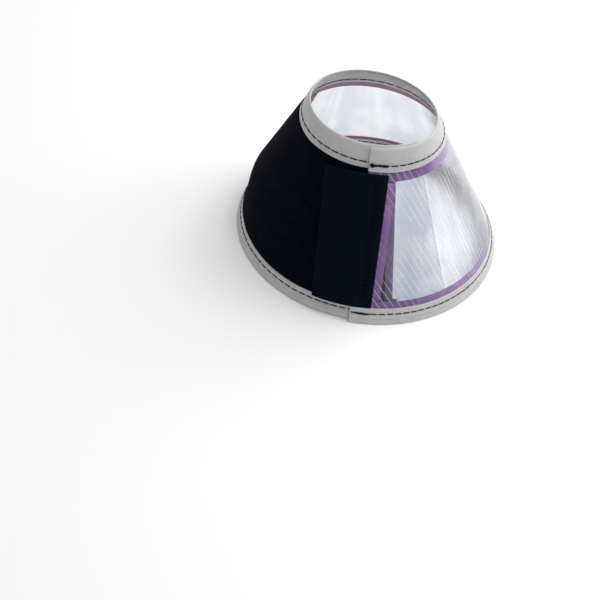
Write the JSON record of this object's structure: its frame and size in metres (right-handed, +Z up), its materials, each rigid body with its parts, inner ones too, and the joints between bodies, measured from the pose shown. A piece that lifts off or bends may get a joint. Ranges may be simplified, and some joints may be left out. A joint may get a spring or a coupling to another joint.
{
  "type": "elizabethan collar",
  "caption": "Soft cone collar for a small pet: clear flexible sheet with coloured edging, taped and stitched rims, closed by a hook tab on a loop panel.",
  "frame": {"origin": "on the floor, under the middle of the collar's bounding box", "axes": "+Z up the cone towards the neck, -Y towards the closing seam, +X to the right of the seam seen from outside"},
  "size_m": [0.157, 0.152, 0.09],
  "materials": {
    "clear_sheet": "clear, glossy flexible sheet with a faint haze",
    "binding_tape": "soft satin vinyl tape",
    "thread": "twisted black sewing thread",
    "loop_fabric": "matte brushed loop pile",
    "tab_webbing": "woven satin backing",
    "hook_fabric": "short stiff hooks"
  },
  "bodies": {
    "right_5": {"sheet_right_5": "clear_sheet", "neck_binding_right_5": "binding_tape", "rim_binding_right_5": "binding_tape", "seam_stitches_right_5": "thread", "tab_sewn_edge": "tab_webbing", "tab_zigzag_stitches": "thread", "back_tacks_outer_end": "thread"},
    "right_4": {"sheet_right_4": "clear_sheet", "neck_binding_right_4": "binding_tape", "rim_binding_right_4": "binding_tape", "seam_stitches_right_4": "thread"},
    "right_3": {"sheet_right_3": "clear_sheet", "neck_binding_right_3": "binding_tape", "rim_binding_right_3": "binding_tape", "seam_stitches_right_3": "thread"},
    "right_2": {"sheet_right_2": "clear_sheet", "neck_binding_right_2": "binding_tape", "rim_binding_right_2": "binding_tape", "seam_stitches_right_2": "thread"},
    "right_1": {"sheet_right_1": "clear_sheet", "neck_binding_right_1": "binding_tape", "rim_binding_right_1": "binding_tape", "seam_stitches_right_1": "thread"},
    "back": {"sheet_back": "clear_sheet", "neck_binding_back": "binding_tape", "rim_binding_back": "binding_tape", "seam_stitches_back": "thread"},
    "left_1": {"sheet_left_1": "clear_sheet", "neck_binding_left_1": "binding_tape", "rim_binding_left_1": "binding_tape", "seam_stitches_left_1": "thread"},
    "left_2": {"sheet_left_2": "clear_sheet", "neck_binding_left_2": "binding_tape", "rim_binding_left_2": "binding_tape", "seam_stitches_left_2": "thread", "loop_fabric_left_2": "loop_fabric"},
    "left_3": {"sheet_left_3": "clear_sheet", "neck_binding_left_3": "binding_tape", "rim_binding_left_3": "binding_tape", "seam_stitches_left_3": "thread", "loop_fabric_left_3": "loop_fabric"},
    "left_4": {"sheet_left_4": "clear_sheet", "neck_binding_left_4": "binding_tape", "rim_binding_left_4": "binding_tape", "seam_stitches_left_4": "thread", "loop_fabric_left_4": "loop_fabric"},
    "left_5": {"sheet_left_5": "clear_sheet", "neck_binding_left_5": "binding_tape", "rim_binding_left_5": "binding_tape", "seam_stitches_left_5": "thread", "loop_fabric_left_5": "loop_fabric"},
    "left_6": {"sheet_left_6": "clear_sheet", "neck_binding_left_6": "binding_tape", "rim_binding_left_6": "binding_tape", "seam_stitches_left_6": "thread", "back_tacks_inner_end": "thread"},
    "hook_tab": {"tab_flap": "tab_webbing", "tab_hook_fabric": "hook_fabric"}
  },
  "joints": [
    {"name": "unroll_right_1", "type": "hinge", "parent": "back", "child": "right_1", "pos_m": [0.00409, 0.05395, 0.04568], "axis": [-0.0758, -0.4302, 0.8996], "range_deg": [0, 30.5]},
    {"name": "unroll_right_2", "type": "hinge", "parent": "right_1", "child": "right_2", "pos_m": [0.03881, 0.03626, 0.04568], "axis": [-0.3034, -0.3142, 0.8996], "range_deg": [0, 30.51]},
    {"name": "unroll_right_3", "type": "hinge", "parent": "right_2", "child": "right_3", "pos_m": [0.05629, 0.00538, 0.04568], "axis": [-0.4273, -0.0908, 0.8996], "range_deg": [0, 30.51]},
    {"name": "unroll_right_4", "type": "hinge", "parent": "right_3", "child": "right_4", "pos_m": [0.05402, -0.02357, 0.04568], "axis": [-0.405, 0.1636, 0.8996], "range_deg": [0, 33.56]},
    {"name": "unroll_right_5", "type": "hinge", "parent": "right_4", "child": "right_5", "pos_m": [0.03609, -0.04541, 0.04568], "axis": [-0.2443, 0.3621, 0.8996], "range_deg": [0, 33.56]},
    {"name": "unroll_left_1", "type": "hinge", "parent": "back", "child": "left_1", "pos_m": [-0.0299, 0.05028, 0.04568], "axis": [-0.1777, 0.399, -0.8996], "range_deg": [0, 30.5]},
    {"name": "unroll_left_2", "type": "hinge", "parent": "left_1", "child": "left_2", "pos_m": [-0.05063, 0.03251, 0.04568], "axis": [-0.3704, 0.2315, -0.8996], "range_deg": [0, 30.5]},
    {"name": "unroll_left_3", "type": "hinge", "parent": "left_2", "child": "left_3", "pos_m": [-0.05747, 0.0063, 0.04568], "axis": [-0.4365, -0.0152, -0.8996], "range_deg": [0, 30.5]},
    {"name": "unroll_left_4", "type": "hinge", "parent": "left_3", "child": "left_4", "pos_m": [-0.04644, -0.02467, 0.04568], "axis": [-0.3534, -0.2567, -0.8996], "range_deg": [0, 30.5]},
    {"name": "unroll_left_5", "type": "hinge", "parent": "left_4", "child": "left_5", "pos_m": [-0.01699, -0.04685, 0.04568], "axis": [-0.1494, -0.4105, -0.8996], "range_deg": [0, 30.5]},
    {"name": "unroll_left_6", "type": "hinge", "parent": "left_5", "child": "left_6", "pos_m": [0.01754, -0.04892, 0.04568], "axis": [0.1057, -0.4238, -0.8996], "range_deg": [0, 29.16]},
    {"name": "tab_peel", "type": "hinge", "parent": "right_5", "child": "hook_tab", "pos_m": [0.00389, -0.05459, 0.04552], "axis": [0, 0.4368, 0.8996], "range_deg": [0, 150]}
  ],
  "couplings": [
    {"joint": "unroll_right_2", "follows": "unroll_right_1", "ratio": 1},
    {"joint": "unroll_right_3", "follows": "unroll_right_1", "ratio": 1},
    {"joint": "unroll_right_4", "follows": "unroll_right_1", "ratio": 1.1},
    {"joint": "unroll_right_5", "follows": "unroll_right_1", "ratio": 1.1},
    {"joint": "unroll_left_1", "follows": "unroll_right_1", "ratio": 0.88},
    {"joint": "unroll_left_2", "follows": "unroll_right_1", "ratio": 0.88},
    {"joint": "unroll_left_3", "follows": "unroll_right_1", "ratio": 0.88},
    {"joint": "unroll_left_4", "follows": "unroll_right_1", "ratio": 0.88},
    {"joint": "unroll_left_5", "follows": "unroll_right_1", "ratio": 0.88},
    {"joint": "unroll_left_6", "follows": "unroll_right_1", "ratio": 0.8414}
  ]
}
